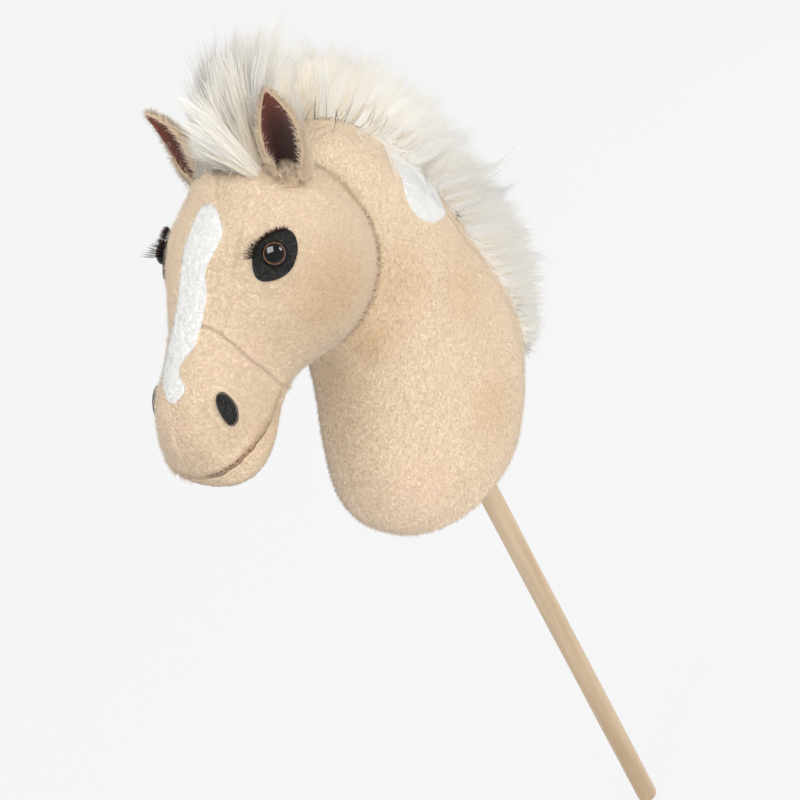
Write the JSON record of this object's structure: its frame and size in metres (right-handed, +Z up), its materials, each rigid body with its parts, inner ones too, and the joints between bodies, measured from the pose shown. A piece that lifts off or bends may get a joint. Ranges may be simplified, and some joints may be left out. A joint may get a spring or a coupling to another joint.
{
  "type": "hobby horse",
  "caption": "Stuffed plush horse's head and neck with a standing mane, a white blaze and glossy eyes, pushed onto a straight round wooden stick.",
  "frame": {"origin": "centre of the stick's flat foot", "axes": "+Z up along the stick, -Y the way the horse faces, +X the horse's left side"},
  "size_m": [0.1879, 0.4659, 0.9763],
  "materials": {
    "wood": "bare sanded beech, faint straight grain",
    "sleeve_plastic": "moulded, milky",
    "hem_tape": "woven cotton tape",
    "tan_plush": "short dense plush, slightly mottled",
    "cream_pile": "long soft pile, cream at the root and off-white at the tip",
    "white_pile": "short white plush",
    "filling": "loose polyester fibre",
    "mouth_fabric": "reddish brown velour",
    "black_felt": "matt needled felt",
    "eye_plastic": "polished dark dome with a brown ring",
    "washer_plastic": "moulded, milky",
    "lash_fibre": "fine stiff black fibres",
    "brown_velour": "short dark red-brown velour"
  },
  "bodies": {
    "stick": {"stick": "wood"},
    "head": {"stick_sleeve": "sleeve_plastic", "base_collar": "hem_tape", "base_panel": "tan_plush", "neck_panel_left": "tan_plush", "neck_panel_right": "tan_plush", "crest_panel": "cream_pile", "neck_patch_left": "white_pile", "neck_patch_right": "white_pile", "neck_filling": "filling", "head_filling": "filling", "cheek_panel_left": "tan_plush", "cheek_panel_right": "tan_plush", "forehead_panel": "tan_plush", "throat_panel": "tan_plush", "face_blaze": "white_pile", "muzzle_panel": "tan_plush", "lower_lip": "tan_plush", "mouth_lining": "mouth_fabric", "nostril_left": "black_felt", "nostril_right": "black_felt", "eye_patch_left": "black_felt", "eye_patch_right": "black_felt", "eye_left": "eye_plastic", "eye_right": "eye_plastic", "eye_washer_left": "washer_plastic", "eye_washer_right": "washer_plastic", "eyelash_left": "lash_fibre", "eyelash_right": "lash_fibre", "ear_shell_left": "tan_plush", "ear_shell_right": "tan_plush", "ear_lining_left": "brown_velour", "ear_lining_right": "brown_velour", "mane": "cream_pile", "forelock": "cream_pile"}
  },
  "joints": [
    {"name": "head_lift_off", "type": "slide", "parent": "stick", "child": "head", "axis": [0, 0, 1], "range_m": [0, 0.3]}
  ]
}
